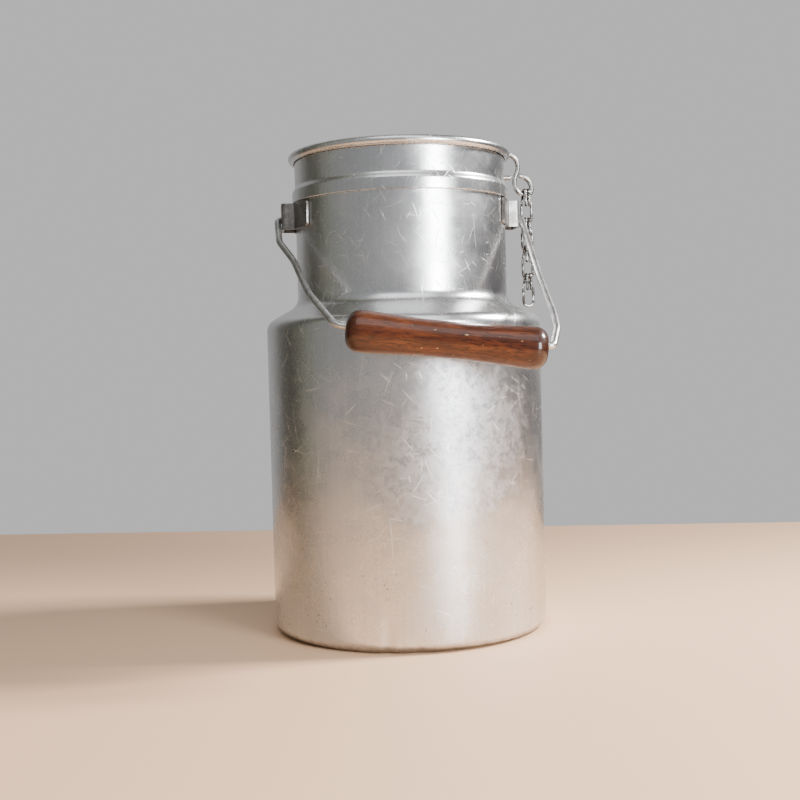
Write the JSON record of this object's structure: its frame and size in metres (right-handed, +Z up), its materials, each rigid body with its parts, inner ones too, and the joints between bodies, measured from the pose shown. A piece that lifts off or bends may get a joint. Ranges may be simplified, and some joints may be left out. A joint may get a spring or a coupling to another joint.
{
  "type": "milk can",
  "caption": "Round metal milk can with a sloping shoulder, a rolled neck, a wire bail with a turned wooden grip and a short lid chain on a wire hook.",
  "frame": {"origin": "centre of the flat base, on the surface the can stands on", "axes": "+Z up along the can's axis; X along the line through the two ear holes, with the lid chain on the +X side; the bail leans to -Y"},
  "size_m": [0.17, 0.2003, 0.2917],
  "materials": {
    "can_aluminium": "satin, rubbed and scratched",
    "ear_aluminium": "satin, dulled",
    "galvanised_wire": "dull galvanised",
    "chain_wire": "worn bright",
    "grip_wood": "clear gloss varnish"
  },
  "bodies": {
    "can": {"can_body": "can_aluminium", "neck_collar": "can_aluminium", "rim_wire": "galvanised_wire", "ear_right": "ear_aluminium", "ear_left": "ear_aluminium"},
    "bail_frame": {"bail": "galvanised_wire"},
    "grip_roller": {"grip": "grip_wood"},
    "hook": {"lid_hook": "galvanised_wire"},
    "link_1": {"chain_link_1": "chain_wire"},
    "link_2": {"chain_link_2": "chain_wire"},
    "link_3": {"chain_link_3": "chain_wire"},
    "link_4": {"chain_link_4": "chain_wire"}
  },
  "joints": [
    {"name": "bail_swing", "type": "hinge", "parent": "can", "child": "bail_frame", "pos_m": [0, 0, 0.2492], "axis": [-1, 0, 0], "range_deg": [0, 132]},
    {"name": "grip_spin", "type": "hinge", "parent": "bail_frame", "child": "grip_roller", "pos_m": [0.0112, -0.09775, 0.17256], "axis": [0.9791, -0.1616, -0.1235], "continuous": true},
    {"name": "hook_swing", "type": "hinge", "parent": "can", "child": "hook", "pos_m": [0.0661, 0.00812, 0.2824], "axis": [0.1219, -0.9925, 0], "range_deg": [0, 25]},
    {"name": "link_1_swing", "type": "hinge", "parent": "hook", "child": "link_1", "pos_m": [0.08139, 0.00999, 0.2647], "axis": [0.9925, 0.1219, 0], "range_deg": [-8, 40]},
    {"name": "link_2_swing", "type": "hinge", "parent": "link_1", "child": "link_2", "pos_m": [0.08139, 0.00999, 0.2472], "axis": [0.9925, 0.1219, 0], "range_deg": [-15, 40]},
    {"name": "link_3_swing", "type": "hinge", "parent": "link_2", "child": "link_3", "pos_m": [0.08139, 0.00999, 0.2297], "axis": [0.9925, 0.1219, 0], "range_deg": [-15, 40]},
    {"name": "link_4_swing", "type": "hinge", "parent": "link_3", "child": "link_4", "pos_m": [0.08139, 0.00999, 0.2122], "axis": [0.9925, 0.1219, 0], "range_deg": [-15, 40]}
  ]
}
